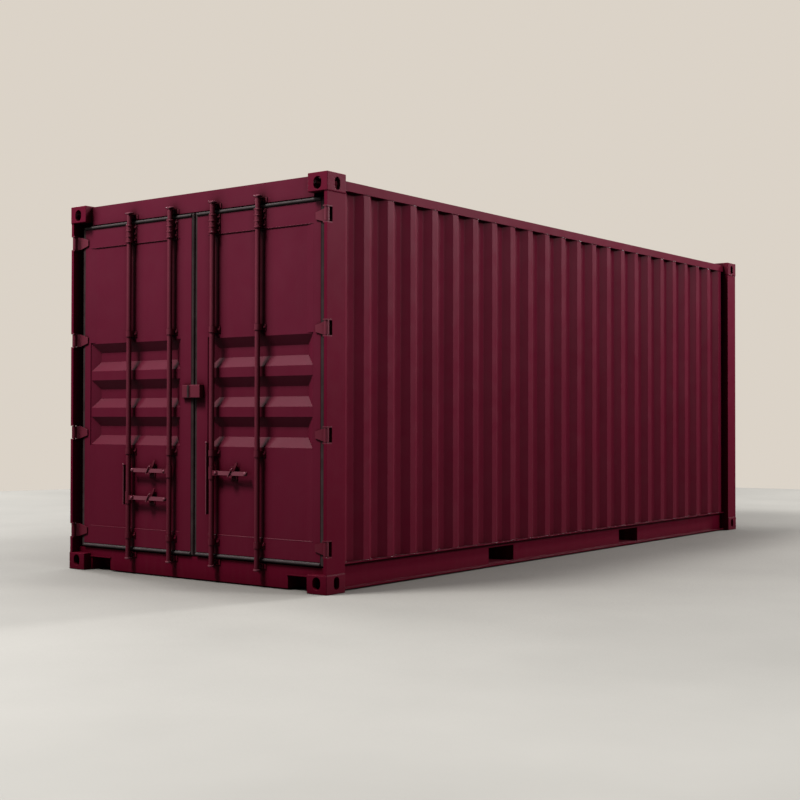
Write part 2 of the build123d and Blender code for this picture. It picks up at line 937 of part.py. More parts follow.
with BuildPart() as left_inner_rod:
    add(left_inner_bar)
    rod_hub(-rod_inner_x, -1, upper_handle_z)

with BuildPart() as right_inner_rod:
    add(right_inner_bar)
    rod_hub(rod_inner_x, 1, upper_handle_z)

with BuildPart() as right_outer_rod:
    add(right_outer_bar)

write(left_outer_rod, "left_outer_rod")
write(left_inner_rod, "left_inner_rod")
write(right_inner_rod, "right_inner_rod")
write(right_outer_rod, "right_outer_rod")


# Cams: a round-faced dog welded to each end of a rod, which points inwards at rest
def rod_cams(rod_x):
    """The two cams of one rod."""
    with BuildPart() as cams:
        for cam_z in (top_cam_z, bottom_cam_z):
            with BuildSketch(Plane.XY.offset(cam_z)):
                with BuildLine():
                    rim = CenterArc((rod_x, rod_y), cam_radius, 90 - cam_half_angle, 2 * cam_half_angle)
                    Line(rim @ 1, (rod_x, rod_y))
                    Line((rod_x, rod_y), rim @ 0)
                make_face()
            extrude(amount=cam_thick / 2, both=True)
        with Locations((rod_x, rod_y, (rod_top + rod_bottom_rise) / 2)):
            Cylinder(rod_radius, rod_top - rod_bottom_rise, mode=Mode.SUBTRACT)
    return cams


write(rod_cams(-rod_outer_x), "left_outer_cams")
write(rod_cams(-rod_inner_x), "left_inner_cams")
write(rod_cams(rod_inner_x), "right_inner_cams")
write(rod_cams(rod_outer_x), "right_outer_cams")


# Keepers on the header and sill: a plate with two ledges and a cheek round each cam
def keeper(rod_x, cheek_side, cam_z):
    """Adds one keeper; the side without a cheek lets the cam turn out."""
    inner_z = cam_thick / 2 + keeper_gap
    outer_z = inner_z + keeper_ledge
    plate_y = header_y - keeper_plate
    cheek_x = rod_x + cheek_side * keeper_cheek_from_rod
    end_x = cheek_x + cheek_side * keeper_ledge
    block(
        (rod_x - keeper_half_wide, rod_x + keeper_half_wide),
        (plate_y, header_y),
        (cam_z - outer_z, cam_z + outer_z),
    )
    for z_side in (-1, 1):
        block(
            (2 * rod_x - end_x, end_x),
            (plate_y - keeper_reach, plate_y),
            (cam_z + z_side * inner_z, cam_z + z_side * outer_z),
        )
    block(
        (cheek_x, end_x),
        (plate_y - keeper_reach, plate_y),
        (cam_z - outer_z, cam_z + outer_z),
    )


cheek_sides = ((-rod_outer_x, -1), (-rod_inner_x, 1), (rod_inner_x, -1), (rod_outer_x, 1))
with BuildPart() as keepers:
    for rod_x, cheek_side in cheek_sides:
        for cam_z in (top_cam_z, bottom_cam_z):
            keeper(rod_x, cheek_side, cam_z)

write(keepers, "keepers")


# Handles: a flat bar with an eye that hangs on the pin of the rod's fork
def handle(rod_x, arm_side, handle_z, reach):
    """One handle that lies level; reach is measured from the rod's axis."""
    pin_x = rod_x + arm_side * handle_pin_from_rod
    with BuildPart() as lever:
        block(
            (pin_x, rod_x + arm_side * reach),
            (rod_y - handle_thick / 2, rod_y + handle_thick / 2),
            (handle_z - handle_high / 2, handle_z + handle_high / 2),
        )
        chamfer(lever.edges().group_by(Axis.X)[-1 if arm_side > 0 else 0], handle_tip_chamfer)
        with Locations((pin_x, rod_y, handle_z)):
            Cylinder(handle_eye_radius, handle_thick, rotation=(90, 0, 0))
            Cylinder(
                handle_pin_radius + handle_pin_clearance,
                handle_thick,
                rotation=(90, 0, 0),
                mode=Mode.SUBTRACT,
            )
    return lever


write(handle(-rod_outer_x, 1, lower_handle_z, long_handle), "left_outer_handle")
write(handle(-rod_inner_x, -1, upper_handle_z, long_handle), "left_inner_handle")
write(handle(rod_inner_x, 1, upper_handle_z, short_handle), "right_inner_handle")


# Catches: a plate with a shelf under the handle and a slanting hasp behind it
def handle_catch(rod_x, arm_side, handle_z, reach):
    """Adds the catch that one handle lies on."""
    catch_x = rod_x + arm_side * catch_share * reach
    plate_y = panel_y - catch_plate
    shelf_top = handle_z - handle_high / 2 - catch_gap
    hasp_y = (plate_y - hasp_stand - hasp_thick, plate_y - hasp_stand)
    knob = (catch_x + hasp_run, handle_z + hasp_rise)
    block(
        (catch_x - catch_wide / 2, catch_x + catch_wide / 2),
        (plate_y, panel_y),
        (handle_z - catch_high / 2, handle_z + catch_high / 2),
    )
    block(
        (catch_x - catch_shelf_wide / 2, catch_x + catch_shelf_wide / 2),
        (panel_y - catch_shelf_reach, panel_y),
        (shelf_top - catch_shelf_thick, shelf_top),
    )
    hasp_long = math.hypot(hasp_run, hasp_rise)
    hasp_tilt = math.degrees(math.atan2(hasp_rise, hasp_run))
    with Locations(Location((catch_x, sum(hasp_y) / 2, handle_z), (0, -hasp_tilt, 0))):
        Box(hasp_long, hasp_thick, hasp_wide, align=(Align.MIN, Align.CENTER, Align.CENTER))
    with Locations((knob[0], sum(hasp_y) / 2, knob[1])):
        Cylinder(hasp_knob_radius, hasp_thick, rotation=(90, 0, 0))
    with Locations((catch_x, (hasp_y[0] + plate_y) / 2, handle_z)):
        Cylinder(hasp_boss_radius, plate_y - hasp_y[0], rotation=(90, 0, 0))


def stop_strip(rod_x, z_pair):
    """Adds the upright strip beside a rod."""
    strip_x = rod_x - strip_from_rod
    block(
        (strip_x - strip_thick / 2, strip_x + strip_thick / 2),
        (panel_y - strip_reach, panel_y),
        z_pair,
    )


def centre_catch(x_side, thick):
    """Adds one half of the catch at the meeting edges."""
    block(
        (x_side * meeting_gap / 2, x_side * (meeting_gap / 2 + centre_catch_wide)),
        (door_y - thick, door_y),
        (centre_catch_z - centre_catch_high / 2, centre_catch_z + centre_catch_high / 2),
    )


with BuildPart() as left_catches:
    centre_catch(-1, centre_plate_thick)
    fillet(left_catches.faces().sort_by(Axis.Y)[0].edges(), centre_round)
    handle_catch(-rod_outer_x, 1, lower_handle_z, long_handle)
    handle_catch(-rod_inner_x, -1, upper_handle_z, long_handle)
    stop_strip(-rod_outer_x, (left_strip_low, left_strip_high))

with BuildPart() as right_catches:
    centre_catch(1, centre_block_thick)
    fillet(right_catches.faces().sort_by(Axis.Y)[0].edges(), centre_round)
    handle_catch(rod_inner_x, 1, upper_handle_z, short_handle)
    stop_strip(rod_inner_x, (right_strip_low, right_strip_high))

write(left_catches, "left_catches")
write(right_catches, "right_catches")
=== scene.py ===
"""Looks of a twenty-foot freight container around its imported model.

Metres, +Z up. The doors are at the -Y end and +X is on the right of someone
facing them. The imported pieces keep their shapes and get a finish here. Welds,
bolts, screws and sealing strips are added as meshes that ride on their bodies.
"""

import logging
import math
from collections.abc import Iterable, Sequence
from dataclasses import dataclass, field
from enum import Enum

import bmesh
import bpy
from mathutils import Matrix, Vector


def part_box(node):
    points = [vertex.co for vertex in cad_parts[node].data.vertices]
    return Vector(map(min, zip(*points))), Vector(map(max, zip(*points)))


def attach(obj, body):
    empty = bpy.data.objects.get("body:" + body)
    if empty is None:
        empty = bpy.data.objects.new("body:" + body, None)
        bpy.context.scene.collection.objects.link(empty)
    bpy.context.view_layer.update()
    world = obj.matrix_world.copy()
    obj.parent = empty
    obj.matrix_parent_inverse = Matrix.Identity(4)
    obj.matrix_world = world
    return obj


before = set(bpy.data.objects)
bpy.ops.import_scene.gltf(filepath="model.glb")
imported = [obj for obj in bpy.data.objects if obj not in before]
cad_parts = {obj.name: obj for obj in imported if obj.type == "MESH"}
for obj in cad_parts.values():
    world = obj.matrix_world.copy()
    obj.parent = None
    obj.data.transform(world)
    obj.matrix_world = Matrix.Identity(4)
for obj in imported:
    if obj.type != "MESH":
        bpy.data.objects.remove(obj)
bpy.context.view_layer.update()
log = logging.getLogger("container")

Colour = tuple[float, float, float]
Point = tuple[float, float, float]
Span = tuple[float, float]
Profile = Sequence[tuple[float, float]]
Socket = bpy.types.NodeSocket

SMOOTH_BELOW = math.radians(40)
CLOUDY: Span = (0.3, 0.7)


class Side(Enum):
    """The two long sides, and the doors that hang on them."""

    LEFT = -1
    RIGHT = 1

    @property
    def word(self) -> str:
        """The side's name in the names of nodes and bodies."""
        return self.name.lower()

    @property
    def door(self) -> str:
        """The body of this side's door."""
        return f"{self.word}_door"


class Coat(Enum):
    """The finishes that a piece can wear."""

    SHEET = "sheet_enamel"
    SECTION = "section_enamel"
    CASTING = "casting_enamel"
    LEAF = "leaf_enamel"
    TOP = "roof_enamel"
    HARDWARE = "hardware_enamel"
    GRIP = "grip_enamel"
    UNDERSIDE = "underside_enamel"
    RUBBER = "seal_rubber"
    BULB = "bulb_rubber"
    PLYWOOD = "floor_plywood"
    SCREW = "floor_screw_steel"


class Recipe:
    """A material in the making: one principled shader and the nodes that feed it."""

    def __init__(self, name: str, roughness: float, specular: float) -> None:
        """Starts the material.

        Args:
            name: The material's name.
            roughness: The shader's even roughness.
            specular: The shader's even specular level.
        """
        self.material = bpy.data.materials.new(name)
        self.material.use_nodes = True
        self.tree = self.material.node_tree
        self.shader = self.tree.nodes["Principled BSDF"]
        self.shader.inputs["Roughness"].default_value = roughness
        self.shader.inputs["Specular IOR Level"].default_value = specular
        self.place = self.tree.nodes.new("ShaderNodeTexCoord").outputs["Object"]

    def feed(self, source: Socket, target: Socket) -> None:
        """Feeds one socket into another."""
        self.tree.links.new(source, target)

    def stretched(self, scale: Point) -> Socket:
        """The piece's own coordinates, scaled along each axis.

        Args:
            scale: The factor along X, Y and Z.

        Returns:
            The socket with the scaled coordinates.
        """
        mapping = self.tree.nodes.new("ShaderNodeMapping")
        mapping.inputs["Scale"].default_value = scale
        self.feed(self.place, mapping.inputs["Vector"])
        return mapping.outputs["Vector"]

    def noise(
        self,
        scale: float,
        detail: float = 3.0,
        at: Socket | None = None,
        warp: float = 0.0,
    ) -> Socket:
        """A cloudy pattern between 0 and 1.

        Args:
            scale: Clouds per metre.
            detail: Octaves of finer clouds.
            at: Coordinates to read, the piece's own where none are given.
            warp: How far the clouds are bent.

        Returns:
            The pattern's socket.
        """
        cloud = self.tree.nodes.new("ShaderNodeTexNoise")
        cloud.inputs["Scale"].default_value = scale
        cloud.inputs["Detail"].default_value = detail
        cloud.inputs["Distortion"].default_value = warp
        self.feed(at or self.place, cloud.inputs["Vector"])
        return cloud.outputs["Fac"]

    def spread(
        self,
        value: Socket,
        low: float,
        high: float,
        to_low: float = 0.0,
        to_high: float = 1.0,
    ) -> Socket:
        """Maps a value's range onto another one, and holds it there.

        Args:
            value: The socket to map.
            low: Where the range starts.
            high: Where the range ends.
            to_low: What the start becomes.
            to_high: What the end becomes.

        Returns:
            The mapped socket.
        """
        mapped = self.tree.nodes.new("ShaderNodeMapRange")
        mapped.inputs["From Min"].default_value = low
        mapped.inputs["From Max"].default_value = high
        mapped.inputs["To Min"].default_value = to_low
        mapped.inputs["To Max"].default_value = to_high
        self.feed(value, mapped.inputs["Value"])
        return mapped.outputs["Result"]

    def times(self, first: Socket, second: Socket) -> Socket:
        """The product of two values.

        Args:
            first: One value's socket.
            second: The other value's socket.

        Returns:
            The product's socket.
        """
        product = self.tree.nodes.new("ShaderNodeMath")
        product.operation = "MULTIPLY"
        self.feed(first, product.inputs[0])
        self.feed(second, product.inputs[1])
        return product.outputs["Value"]

    def height(self) -> Socket:
        """How high above the ground a point lies.

        Returns:
            The height's socket.
        """
        split = self.tree.nodes.new("ShaderNodeSeparateXYZ")
        self.feed(self.place, split.inputs["Vector"])
        return split.outputs["Z"]

    def openness(self, reach: float) -> Socket:
        """How open a point is to the air, from 0 deep in a corner to 1 in the clear.

        Args:
            reach: How near the faces are that count, in metres.

        Returns:
            The openness's socket.
        """
        air = self.tree.nodes.new("ShaderNodeAmbientOcclusion")
        air.samples = 6
        air.inputs["Distance"].default_value = reach
        return air.outputs["AO"]

    def blend(
        self,
        share: Socket,
        first: Colour | Socket,
        second: Colour | Socket,
    ) -> Socket:
        """Mixes two colours.

        Args:
            share: How much of the second colour shows.
            first: The colour at a share of 0.
            second: The colour at a share of 1.

        Returns:
            The mixed colour's socket.
        """
        mix = self.tree.nodes.new("ShaderNodeMix")
        mix.data_type = "RGBA"
        self.feed(share, mix.inputs["Factor"])
        for socket, colour in ((mix.inputs[6], first), (mix.inputs[7], second)):
            if isinstance(colour, tuple):
                socket.default_value = (*colour, 1.0)
            else:
                self.feed(colour, socket)
        return mix.outputs[2]

    def emboss(self, reliefs: Iterable[tuple[Socket, float]], edge: float = 0.0) -> None:
        """Gives the surface its relief.

        Args:
            reliefs: Patterns, each with its depth in metres.
            edge: The radius that rounds the edges, in metres.
        """
        normal = None
        if edge > 0:
            rounding = self.tree.nodes.new("ShaderNodeBevel")
            rounding.samples = 4
            rounding.inputs["Radius"].default_value = edge
            normal = rounding.outputs["Normal"]
        for pattern, depth in reliefs:
            bump = self.tree.nodes.new("ShaderNodeBump")
            bump.inputs["Distance"].default_value = depth
            self.feed(pattern, bump.inputs["Height"])
            if normal is not None:
                self.feed(normal, bump.inputs["Normal"])
            normal = bump.outputs["Normal"]
        if normal is not None:
            self.feed(normal, self.shader.inputs["Normal"])


@dataclass(frozen=True)
class Enamel:
    """Satin enamel sprayed on steel, with painted shade in corners and towards the bottom."""

    colour: Colour = (0.172, 0.0088, 0.0320)
    deep: Colour = (0.152, 0.0072, 0.0270)
    dust: Colour = (0.170, 0.065, 0.070)
    roughness: float = 0.40
    gloss: float = 0.18
    dent: float = 0.0
    grit: float = 0.0
    grime: float = 0.05
    edge: float = 0.0025
    # painted shade: the near-black colour that corners, creases and recesses darken towards
    corner: Colour = (0.030, 0.0010, 0.0030)
    corner_reach: float = 0.10
    corner_open: Span = (0.55, 1.0)
    # painted shade: the darker colour that the paint turns towards near the ground
    splash: Colour = (0.085, 0.0012, 0.0100)
    splash_high: float = 2.1
    splash_share: float = 0.8
    cloud_scale: float = 1.7
    run_scale: float = 3.0
    run_stretch: Point = (7.0, 7.0, 0.5)
    run_range: Span = (0.5, 0.85)
    dust_high: float = 0.9
    dust_above: float = 0.25
    worn_scale: float = 9.0
    worn_range: Span = (0.25, 0.75)
    worn_change: Span = (-0.05, 0.08)
    peel_scale: float = 520.0
    peel_depth: float = 0.00005
    dent_scale: float = 1.6
    grit_scale: float = 150.0

    def make(self, name: str) -> bpy.types.Material:
        """Makes the material.

        Args:
            name: The material's name.

        Returns:
            The enamel, with clouds in its colour, painted shade in corners and low down, faint runs
            of dust and an orange peel.
        """
        paint = Recipe(name, self.roughness, self.gloss)
        clouds = paint.spread(paint.noise(self.cloud_scale, 5.0, warp=0.4), *CLOUDY)
        colour = paint.blend(clouds, self.colour, self.deep)
        # painted shade: the colour darkens where nearby faces close the surface in
        corner_shade_mask = paint.spread(paint.openness(self.corner_reach), *self.corner_open)
        colour = paint.blend(corner_shade_mask, self.corner, colour)
        # painted shade: the colour grows darker towards the bottom
        bottom_shade_mask = paint.spread(paint.height(), 0.0, self.splash_high, self.splash_share, 0.0)
        colour = paint.blend(bottom_shade_mask, colour, self.splash)
        low = paint.spread(paint.height(), 0.0, self.dust_high, 1.0, self.dust_above)
        runs = paint.noise(self.run_scale, 6.0, at=paint.stretched(self.run_stretch))
        film = paint.times(paint.spread(runs, *self.run_range, 0.0, self.grime), low)
        paint.feed(paint.blend(film, colour, self.dust), paint.shader.inputs["Base Color"])
        worn = paint.noise(self.worn_scale, 6.0)
        smooth, rough = (self.roughness + change for change in self.worn_change)
        sheen = paint.spread(worn, *self.worn_range, smooth, rough)
        paint.feed(sheen, paint.shader.inputs["Roughness"])
        reliefs = [(paint.noise(self.peel_scale, 1.0), self.peel_depth)]
        if self.dent > 0:
            reliefs.append((paint.noise(self.dent_scale, 1.0), self.dent))
        if self.grit > 0:
            reliefs.append((paint.noise(self.grit_scale, 4.0), self.grit))
        paint.emboss(reliefs, self.edge)
        return paint.material


@dataclass(frozen=True)
class Rubber:
    """Extruded sealing rubber with a faint grey bloom."""

    colour: Colour = (0.036, 0.021, 0.021)
    bloom: Colour = (0.070, 0.046, 0.046)
    roughness: float = 0.62
    gloss: float = 0.15
    haze_scale: float = 14.0
    haze_range: Span = (0.35, 0.8)
    haze_share: float = 0.7
    skin_scale: float = 900.0
    skin_depth: float = 0.0001

    def make(self, name: str) -> bpy.types.Material:
        """Makes the material.

        Args:
            name: The material's name.

        Returns:
            The rubber, hazed in clouds.
        """
        rubber = Recipe(name, self.roughness, self.gloss)
        clouds = rubber.noise(self.haze_scale, 6.0)
        haze = rubber.spread(clouds, *self.haze_range, 0.0, self.haze_share)
        rubber.feed(rubber.blend(haze, self.colour, self.bloom), rubber.shader.inputs["Base Color"])
        rubber.emboss([(rubber.noise(self.skin_scale, 2.0), self.skin_depth)])
        return rubber.material


@dataclass(frozen=True)
class Plywood:
    """Varnished hardwood plywood, scuffed by loads, with its grain along the box."""

    light: Colour = (0.235, 0.118, 0.052)
    dark: Colour = (0.105, 0.046, 0.020)
    scuff: Colour = (0.060, 0.045, 0.036)
    roughness: float = 0.55
    gloss: float = 0.3
    edge: float = 0.0015
    figure_scale: float = 6.0
    figure_stretch: Point = (5.0, 0.35, 5.0)
    figure_range: Span = (0.3, 0.72)
    figure_depth: float = 0.0004
    pore_scale: float = 60.0
    pore_stretch: Point = (4.0, 0.12, 4.0)
    pore_range: Span = (0.55, 0.8)
    pore_share: float = 0.6
    pore_depth: float = 0.0003
    mark_scale: float = 2.2
    mark_stretch: Point = (1.6, 0.7, 1.0)
    mark_range: Span = (0.54, 0.8)
    mark_share: float = 0.75
    mark_roughness: Span = (0.5, 0.8)

    def make(self, name: str) -> bpy.types.Material:
        """Makes the material.

        Args:
            name: The material's name.

        Returns:
            The plywood, with a figure, pores and scuffs.
        """
        wood = Recipe(name, self.roughness, self.gloss)
        along = wood.stretched(self.figure_stretch)
        figure = wood.noise(self.figure_scale, 8.0, at=along, warp=1.2)
        pores = wood.noise(self.pore_scale, 3.0, at=wood.stretched(self.pore_stretch))
        grain = wood.blend(wood.spread(figure, *self.figure_range), self.light, self.dark)
        pitted = wood.spread(pores, *self.pore_range, 0.0, self.pore_share)
        pored = wood.blend(pitted, grain, self.dark)
        rubbed = wood.noise(self.mark_scale, 8.0, at=wood.stretched(self.mark_stretch), warp=0.8)
        marks = wood.spread(rubbed, *self.mark_range, 0.0, self.mark_share)
        wood.feed(wood.blend(marks, pored, self.scuff), wood.shader.inputs["Base Color"])
        dulled = wood.spread(marks, 0.0, self.mark_share, *self.mark_roughness)
        wood.feed(dulled, wood.shader.inputs["Roughness"])
        wood.emboss([(figure, self.figure_depth), (pores, self.pore_depth)], self.edge)
        return wood.material


@dataclass(frozen=True)
class ScrewSteel:
    """Zinc-plated screw heads, dulled by wear."""

    colour: Colour = (0.36, 0.35, 0.33)
    stain: Colour = (0.11, 0.085, 0.07)
    roughness: float = 0.45
    gloss: float = 0.5
    blot_scale: float = 30.0
    blot_range: Span = (0.4, 0.7)
    pit_scale: float = 400.0
    pit_depth: float = 0.0002

    def make(self, name: str) -> bpy.types.Material:
        """Makes the material.

        Args:
            name: The material's name.

        Returns:
            The steel, with blots of stain.
        """
        steel = Recipe(name, self.roughness, self.gloss)
        steel.shader.inputs["Metallic"].default_value = 1.0
        blot = steel.spread(steel.noise(self.blot_scale, 4.0), *self.blot_range)
        steel.feed(steel.blend(blot, self.colour, self.stain), steel.shader.inputs["Base Color"])
        steel.emboss([(steel.noise(self.pit_scale, 2.0), self.pit_depth)])
        return steel.material


Finish = Enamel | Rubber | Plywood | ScrewSteel


@dataclass
class Palette:
    """The finishes of the whole container, made once each."""

    finishes: dict[Coat, Finish] = field(
        default_factory=lambda: {
            Coat.SHEET: Enamel(dent=0.004, gloss=0.13, edge=0.010),
            Coat.SECTION: Enamel(roughness=0.44, gloss=0.06),
            Coat.CASTING: Enamel(roughness=0.52, gloss=0.08, grit=0.0007, edge=0.004),
            # painted sheen: a pinker copy of the enamel stands in for the light the doors catch
            Coat.LEAF: Enamel(
                colour=(0.162, 0.0160, 0.0400),
                deep=(0.145, 0.0140, 0.0350),
                splash=(0.095, 0.0015, 0.0130),
                dent=0.004,
                edge=0.0015,
            ),
            Coat.TOP: Enamel(roughness=0.62, gloss=0.05, grit=0.0003, grime=0.5, edge=0.004),
            # painted highlight: a much lighter, pinker copy of the enamel stands in for lit
            # handles, caps, knobs and edges
            Coat.GRIP: Enamel(
                colour=(0.270, 0.075, 0.105),
                deep=(0.235, 0.062, 0.088),
                splash=(0.200, 0.050, 0.070),
                roughness=0.34,
                gloss=0.35,
                grime=0.1,
                edge=0.0015,
            ),
            # painted highlight: a lighter, pinker copy of the enamel stands in for the light on
            # rods and fittings
            Coat.HARDWARE: Enamel(
                colour=(0.215, 0.040, 0.064),
                deep=(0.190, 0.030, 0.052),
                roughness=0.36,
                gloss=0.3,
                grime=0.1,
                edge=0.0015,
            ),
            Coat.UNDERSIDE: Enamel(roughness=0.6, grime=0.6),
            Coat.RUBBER: Rubber(),
            Coat.BULB: Rubber(colour=(0.058, 0.045, 0.045), bloom=(0.088, 0.072, 0.071)),
            Coat.PLYWOOD: Plywood(),
            Coat.SCREW: ScrewSteel(),
        }
    )
    made: dict[Coat, bpy.types.Material] = field(default_factory=dict)

    def material(self, coat: Coat) -> bpy.types.Material:
        """The material of a coat, made at its first use.

        Args:
            coat: The coat.

        Returns:
            Its material.
        """
        if coat not in self.made:
            self.made[coat] = self.finishes[coat].make(coat.value)
        return self.made[coat]

    def dress(self, names: Iterable[str], coat: Coat) -> None:
        """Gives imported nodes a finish.

        Args:
            names: The nodes.
            coat: What they wear.
        """
        for name in names:
            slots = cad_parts[name].data.materials
            slots.clear()
            slots.append(self.material(coat))
            log.info("node %s wears %s", name, coat.value)


def circle(radius: float, rise: float, sides: int, flat: float = math.inf) -> list[Vector]:
    """Points round an upright axis.

    Args:
        radius: How far they lie from it.
        rise: How high they lie.
        sides: How many there are.
        flat: How far they may reach along Y.

    Returns:
        The points, in order.
    """
    points = []
    for step in range(sides):
        angle = math.tau * step / sides
        along = max(-flat, min(flat, radius * math.sin(angle)))
        points.append(Vector((radius * math.cos(angle), along, rise)))
    return points


class Forge:
    """A mesh in the making, out of small solid forms."""

    washer: Profile = ((1.35, 0.0), (1.35, 0.22))
    head: Profile = ((1.0, 0.22), (1.0, 0.76), (0.86, 0.95))
    dome: Profile = ((1.0, 0.0), (0.92, 0.25), (0.6, 0.48))
    ripple_turn: float = 2.4

    def __init__(self) -> None:
        """Starts with an empty mesh."""
        self.mesh = bmesh.new()

    def slab(self, low: Point, high: Point) -> None:
        """Adds a block between two corners.

        Args:
            low: The lowest corner.
            high: The highest corner.
        """
        middle = (Vector(low) + Vector(high)) / 2
        spans = Vector(high) - Vector(low)
        place = Matrix.Translation(middle) @ Matrix.Diagonal((*spans, 1.0))
        bmesh.ops.create_cube(self.mesh, size=1.0, matrix=place)

    def skin(self, loops: Sequence[Sequence[Vector]], closed: bool = False) -> None:
        """Joins loops of points into a solid form.

        Args:
            loops: The loops, each with the same number of points.
            closed: Whether the last loop joins the first one, in place of caps on both.
        """
        rings = [[self.mesh.verts.new(point) for point in loop] for loop in loops]
        pairs = list(zip(rings, rings[1:]))
        if closed:
            pairs.append((rings[-1], rings[0]))
        for lower, upper in pairs:
            for step, corner in enumerate(lower):
                after = (step + 1) % len(lower)
                self.mesh.faces.new((corner, lower[after], upper[after], upper[step]))
        if not closed:
            self.mesh.faces.new(rings[-1])
            self.mesh.faces.new(list(reversed(rings[0])))

    def turned(
        self,
        seat: Vector,
        axis: Vector,
        profile: Profile,
        sides: int,
        flat: float = math.inf,
    ) -> None:
        """Adds a form turned about an axis, such as a bolt head.

        Args:
            seat: The middle of its foot.
            axis: The way that it stands.
            profile: Pairs of radius and height, from the foot up.
            sides: How many faces go round it.
            flat: How far it reaches in front and behind before it is cut flat.
        """
        turn = axis.to_track_quat("Z", "Y").to_matrix()
        loops = []
        for radius, rise in profile:
            loops.append([seat + turn @ point for point in circle(radius, rise, sides, flat)])
        self.skin(loops)

    def scaled(
        self, seat: Vector, axis: Vector, profile: Profile, scale: float, sides: int
    ) -> None:
        """Adds a turned form, with one factor on its profile's radii and heights."""
        self.turned(seat, axis, [(scale * radius, scale * rise) for radius, rise in profile], sides)

    def bolt(self, seat: Vector, axis: Vector, radius: float) -> None:
        """Adds a hexagon bolt head on a washer, with the radius to the head's corners."""
        self.scaled(seat, axis, self.washer, radius, 14)
        self.scaled(seat, axis, self.head, radius, 6)

    def rivet(self, seat: Vector, axis: Vector, radius: float) -> None:
        """Adds a low domed rivet head."""
        self.scaled(seat, axis, self.dome, radius, 12)

    def ring(self, middle: Vector, outline: Profile, sides: int, flat: float) -> None:
        """Adds an upright ring with a hole through it.

        Args:
            middle: Its middle.
            outline: Pairs of radius and height round its section, from the lowest inner one.
            sides: How many faces go round it.
            flat: How far it reaches in front and behind before it is cut flat.
        """
        loops = []
        for radius, rise in outline:
            loops.append([middle + point for point in circle(radius, rise, sides, flat)])
        self.skin(loops, closed=True)

    def bead(
        self, path: Sequence[Vector], radius: float, ripple: float = 0.0, sides: int = 6
    ) -> None:
        """Adds a round bead along a path.

        Args:
            path: The points it runs through.
            radius: Half its width.
            ripple: How much its width swells and shrinks from point to point.
            sides: How many faces go round it.
        """
        loops = []
        for index, point in enumerate(path):
            before = path[max(index - 1, 0)]
            after = path[min(index + 1, len(path) - 1)]
            turn = (after - before).to_track_quat("Z", "Y").to_matrix()
            width = radius * (1 + ripple * math.sin(self.ripple_turn * index))
            loops.append([point + turn @ offset for offset in circle(width, 0.0, sides)])
        self.skin(loops)

    def run(
        self,
        start: Point,
        end: Point,
        step: float,
        radius: float,
        ripple: float = 0.0,
        sides: int = 6,
    ) -> None:
        """Adds a straight round bead.

        Args:
            start: Where it starts.
            end: Where it ends.
            step: The wished distance from point to point.
            radius: Half its width.
            ripple: How much its width swells and shrinks from point to point.
            sides: How many faces go round it.
        """
        first, last = Vector(start), Vector(end)
        shares = spaced(0.0, (last - first).length, step)
        path = [first.lerp(last, share / shares[-1]) for share in shares]
        self.bead(path, radius, ripple, sides)

    def piece(self, name: str, body: str, coat: Coat, palette: Palette) -> None:
        """Turns the mesh into a piece of the container.

        Args:
            name: The piece's name.
            body: The body that it rides on.
            coat: What it wears.
            palette: The container's finishes.
        """
        bmesh.ops.recalc_face_normals(self.mesh, faces=self.mesh.faces)
        data = bpy.data.meshes.new(name)
        self.mesh.to_mesh(data)
        self.mesh.free()
        made = bpy.data.objects.new(name, data)
        bpy.context.collection.objects.link(made)
        data.materials.append(palette.material(coat))
        data.shade_smooth()
        data.set_sharp_from_angle(angle=SMOOTH_BELOW)
        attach(made, body)
        log.info("piece %s rides on %s with %d faces", name, body, len(data.polygons))


def spaced(low: float, high: float, step: float) -> list[float]:
    """Even places from low to high, both among them, about a step apart."""
    count = max(1, round(abs(high - low) / step))
    return [low + (high - low) * index / count for index in range(count + 1)]


@dataclass
class Skeleton:
    """Castings, posts, header, sill and rails: what carries the load."""

    body: str = "box"
    castings: tuple[str, ...] = ("top_castings", "bottom_castings")
    sections: tuple[str, ...] = (
        "rear_posts",
        "front_posts",
        "door_sill",
        "front_rails",
        "top_side_rails",
        "bottom_side_rails",
        "bottom_rail_webs",
    )
    header: str = "door_header"
    bead: float = 0.0032
    bead_step: float = 0.009
    ripple: float = 0.18
    flange_wide: float = 0.024
    header_gap: float = 0.004

    def dress(self, palette: Palette) -> None:
        """Gives castings and sections their enamel.

        Args:
            palette: The container's finishes.
        """
        palette.dress(self.castings, Coat.CASTING)
        palette.dress(self.sections, Coat.SECTION)
        # painted sheen: the header wears the doors' pinker copy of the enamel
        palette.dress((self.header,), Coat.LEAF)

    def build(self, palette: Palette) -> None:
        """Adds the welds between the posts, the castings, the header and the sill.

        Args:
            palette: The container's finishes.
        """
        low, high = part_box(self.header)
        post_low, post_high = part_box("rear_posts")
        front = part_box("front_posts")[1]
        inner = post_high[0] - self.flange_wide
        bottom = post_high[2] + self.header_gap
        seams = [((high[0], low[1], bottom), (high[0], low[1], high[2]))]
        for z in (post_low[2], post_high[2]):
            seams += [
                ((post_high[0], post_low[1], z), (post_high[0], post_high[1], z)),
                ((front[0], front[1], z), (front[0], -high[1], z)),
                ((inner, post_low[1], z), (post_high[0], post_low[1], z)),
                ((high[0], front[1], z), (front[0], front[1], z)),
            ]
        forge = Forge()
        for side in Side:
            for ends in seams:
                start, end = ((side.value * x, y, z) for x, y, z in ends)
                forge.run(start, end, self.bead_step, self.bead, self.ripple)
        forge.piece("frame_welds", self.body, Coat.SECTION, palette)


